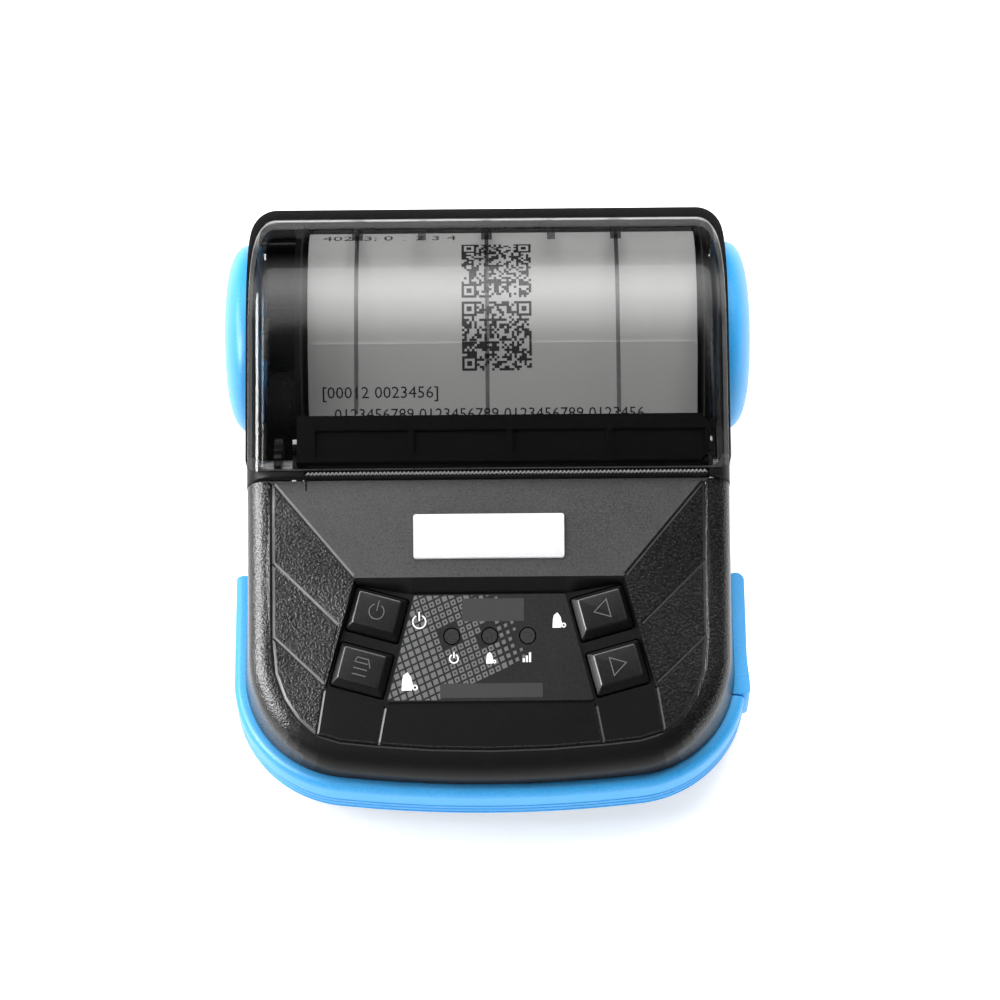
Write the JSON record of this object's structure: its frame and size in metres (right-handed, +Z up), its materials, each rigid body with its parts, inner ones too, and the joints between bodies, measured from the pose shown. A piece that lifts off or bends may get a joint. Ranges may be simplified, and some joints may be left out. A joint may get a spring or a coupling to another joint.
{
  "type": "portable thermal printer",
  "caption": "Battery-powered thermal receipt printer with a hinged smoked cover over its paper roll, release buttons on the sides and a sloping key deck.",
  "frame": {"origin": "centre of the underside's bounding rectangle, on the surface that the printer stands on", "axes": "+X to the user's right, -Y to the front where the keys are, +Z up"},
  "size_m": [0.1088, 0.124, 0.056],
  "materials": {
    "black_plastic": "fine-grained satin black",
    "blue_plastic": "satin bright blue",
    "smoked_clear": "polished smoked clear",
    "black_rubber": "ground matt rubber",
    "steel": "bright zinc",
    "heat_sink": "bare extruded",
    "white_nylon": "natural white",
    "paper": "smooth thermal paper",
    "card": "rolled card",
    "circuit_board": "green solder mask",
    "switch_plastic": "moulded black",
    "ceramic": "glazed",
    "lamp_lens": "clear light pipe",
    "panel_print": "printed film",
    "white_label": "blank white sticker"
  },
  "bodies": {
    "root": {"top_housing": "black_plastic", "bottom_housing": "black_plastic", "bumper_band": "blue_plastic", "usb_port": "steel", "dc_jack": "switch_plastic", "port_board": "circuit_board", "button_spring_left": "steel", "button_spring_right": "steel", "hinge_pin_left": "steel", "hinge_pin_right": "steel", "side_guide_left": "black_plastic", "side_guide_right": "black_plastic", "paper_guide": "black_plastic", "print_head": "ceramic", "head_heat_sink": "heat_sink", "head_spring_left": "steel", "head_spring_right": "steel", "mechanism_frame": "steel", "stepper_motor": "steel", "gear_stud": "steel", "gear_cover": "black_plastic", "paper_web": "paper", "main_board": "circuit_board", "power_switch": "switch_plastic", "feed_switch": "switch_plastic", "back_switch": "switch_plastic", "forward_switch": "switch_plastic", "lamp_left": "lamp_lens", "lamp_middle": "lamp_lens", "lamp_right": "lamp_lens", "panel_sheet": "panel_print", "blank_label": "white_label", "head_cable": "white_nylon", "case_screw_1": "steel", "case_screw_2": "steel", "case_screw_3": "steel", "case_screw_4": "steel"},
    "cover": {"paper_cover": "smoked_clear", "platen_holder": "black_plastic", "tear_bar": "black_plastic", "platen_bush_left": "white_nylon", "platen_bush_right": "white_nylon"},
    "platen": {"platen_roller": "black_rubber", "platen_shaft": "steel", "platen_gear": "white_nylon"},
    "reduction": {"reduction_gear": "white_nylon"},
    "pinion": {"motor_pinion": "steel"},
    "paper_supply": {"paper_roll": "paper", "paper_core": "card"},
    "release_left": {"release_button_left": "blue_plastic"},
    "release_right": {"release_button_right": "blue_plastic"},
    "latch_left": {"latch_lever_left": "white_nylon"},
    "latch_right": {"latch_lever_right": "white_nylon"},
    "flap": {"port_flap": "blue_plastic"},
    "battery": {"battery_pack": "black_plastic"},
    "power_button": {"power_key": "black_plastic"},
    "feed_button": {"feed_key": "black_plastic"},
    "back_button": {"back_key": "black_plastic"},
    "forward_button": {"forward_key": "black_plastic"}
  },
  "joints": [
    {"name": "cover_hinge", "type": "hinge", "parent": "root", "child": "cover", "pos_m": [0, 0.059, 0.0244], "axis": [-1, 0, 0], "range_deg": [0, 100]},
    {"name": "platen_spin", "type": "hinge", "parent": "cover", "child": "platen", "pos_m": [0, 0.00075, 0.0382], "axis": [1, 0, 0], "continuous": true},
    {"name": "reduction_spin", "type": "hinge", "parent": "root", "child": "reduction", "pos_m": [0, -0.00425, 0.02954], "axis": [1, 0, 0], "continuous": true},
    {"name": "pinion_spin", "type": "hinge", "parent": "root", "child": "pinion", "pos_m": [0, -0.01175, 0.02293], "axis": [1, 0, 0], "continuous": true},
    {"name": "roll_spin", "type": "hinge", "parent": "root", "child": "paper_supply", "pos_m": [0, 0.0397, 0.0257], "axis": [1, 0, 0], "continuous": true},
    {"name": "release_left_press", "type": "slide", "parent": "root", "child": "release_left", "axis": [1, 0, 0], "range_m": [0, 0.0015], "stiffness_N_per_m": 400, "springref_m": -0.001},
    {"name": "release_right_press", "type": "slide", "parent": "root", "child": "release_right", "axis": [-1, 0, 0], "range_m": [0, 0.0015], "stiffness_N_per_m": 400, "springref_m": -0.001},
    {"name": "latch_left_turn", "type": "hinge", "parent": "root", "child": "latch_left", "pos_m": [0, 0.009, 0.0275], "axis": [1, 0, 0], "range_deg": [0, 5.2]},
    {"name": "latch_right_turn", "type": "hinge", "parent": "root", "child": "latch_right", "pos_m": [0, 0.009, 0.0275], "axis": [1, 0, 0], "range_deg": [0, 5.2]},
    {"name": "flap_hinge", "type": "hinge", "parent": "root", "child": "flap", "pos_m": [0.05055, -0.01555, 0], "axis": [0, 0, 1], "range_deg": [0, 100]},
    {"name": "battery_slide", "type": "slide", "parent": "root", "child": "battery", "axis": [0, 0, -1], "range_m": [0, 0.022]},
    {"name": "power_press", "type": "slide", "parent": "root", "child": "power_button", "axis": [0, 0.2351, -0.972], "range_m": [0, 0.0006], "stiffness_N_per_m": 250, "springref_m": -0.001},
    {"name": "feed_press", "type": "slide", "parent": "root", "child": "feed_button", "axis": [0, 0.2351, -0.972], "range_m": [0, 0.0006], "stiffness_N_per_m": 250, "springref_m": -0.001},
    {"name": "back_press", "type": "slide", "parent": "root", "child": "back_button", "axis": [0, 0.2351, -0.972], "range_m": [0, 0.0006], "stiffness_N_per_m": 250, "springref_m": -0.001},
    {"name": "forward_press", "type": "slide", "parent": "root", "child": "forward_button", "axis": [0, 0.2351, -0.972], "range_m": [0, 0.0006], "stiffness_N_per_m": 250, "springref_m": -0.001}
  ],
  "couplings": [
    {"joint": "reduction_spin", "follows": "platen_spin", "ratio": -1.5},
    {"joint": "pinion_spin", "follows": "platen_spin", "ratio": 3.5},
    {"joint": "latch_left_turn", "follows": "release_left_press", "rad_per_m": 58},
    {"joint": "latch_right_turn", "follows": "release_right_press", "rad_per_m": 58}
  ]
}
